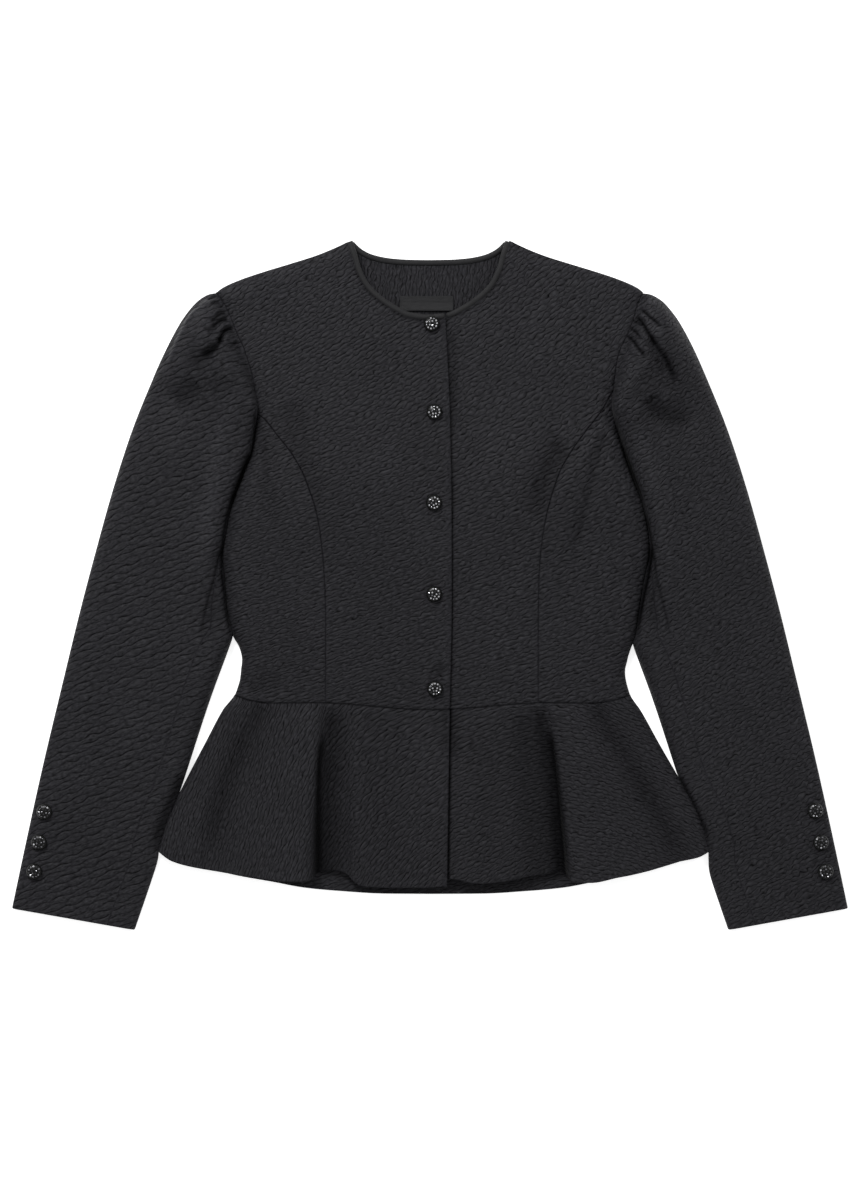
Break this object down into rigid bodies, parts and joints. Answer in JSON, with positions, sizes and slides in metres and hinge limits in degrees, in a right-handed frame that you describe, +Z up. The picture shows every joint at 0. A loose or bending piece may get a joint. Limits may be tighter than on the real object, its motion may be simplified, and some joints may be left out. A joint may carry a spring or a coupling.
{
  "type": "peplum cardigan jacket laid flat",
  "caption": "Collarless buttoned cardigan jacket with puffed long sleeves, princess seams and a fluted peplum, laid flat on its back.",
  "frame": {"origin": "on the surface that the jacket lies on, under the middle of its outline", "axes": "+X to the right of someone looking down at its front, +Y towards the neck, +Z up from the surface"},
  "size_m": [0.777, 0.6378, 0.0362],
  "materials": {
    "crinkled_cloth": "black blistered crinkle cloth with a faint sheen",
    "neck_binding": "black rolled bias binding",
    "label_tape": "dark satin tape, bare",
    "jet_button": "glossy black dome set with clear faceted stones"
  },
  "bodies": {
    "root": {"right_front": "crinkled_cloth", "left_front": "crinkled_cloth", "right_side_front": "crinkled_cloth", "left_side_front": "crinkled_cloth", "right_back": "crinkled_cloth", "left_back": "crinkled_cloth", "right_peplum": "crinkled_cloth", "left_peplum": "crinkled_cloth", "back_peplum": "crinkled_cloth", "right_upper_sleeve": "crinkled_cloth", "left_upper_sleeve": "crinkled_cloth", "right_under_sleeve": "crinkled_cloth", "left_under_sleeve": "crinkled_cloth", "right_neck_band": "neck_binding", "left_neck_band": "neck_binding", "back_neck_band": "neck_binding", "neck_label": "label_tape", "front_button_1": "jet_button", "front_button_2": "jet_button", "front_button_3": "jet_button", "front_button_4": "jet_button", "front_button_5": "jet_button", "right_cuff_button_1": "jet_button", "right_cuff_button_2": "jet_button", "right_cuff_button_3": "jet_button", "left_cuff_button_1": "jet_button", "left_cuff_button_2": "jet_button", "left_cuff_button_3": "jet_button"}
  },
  "joints": []
}
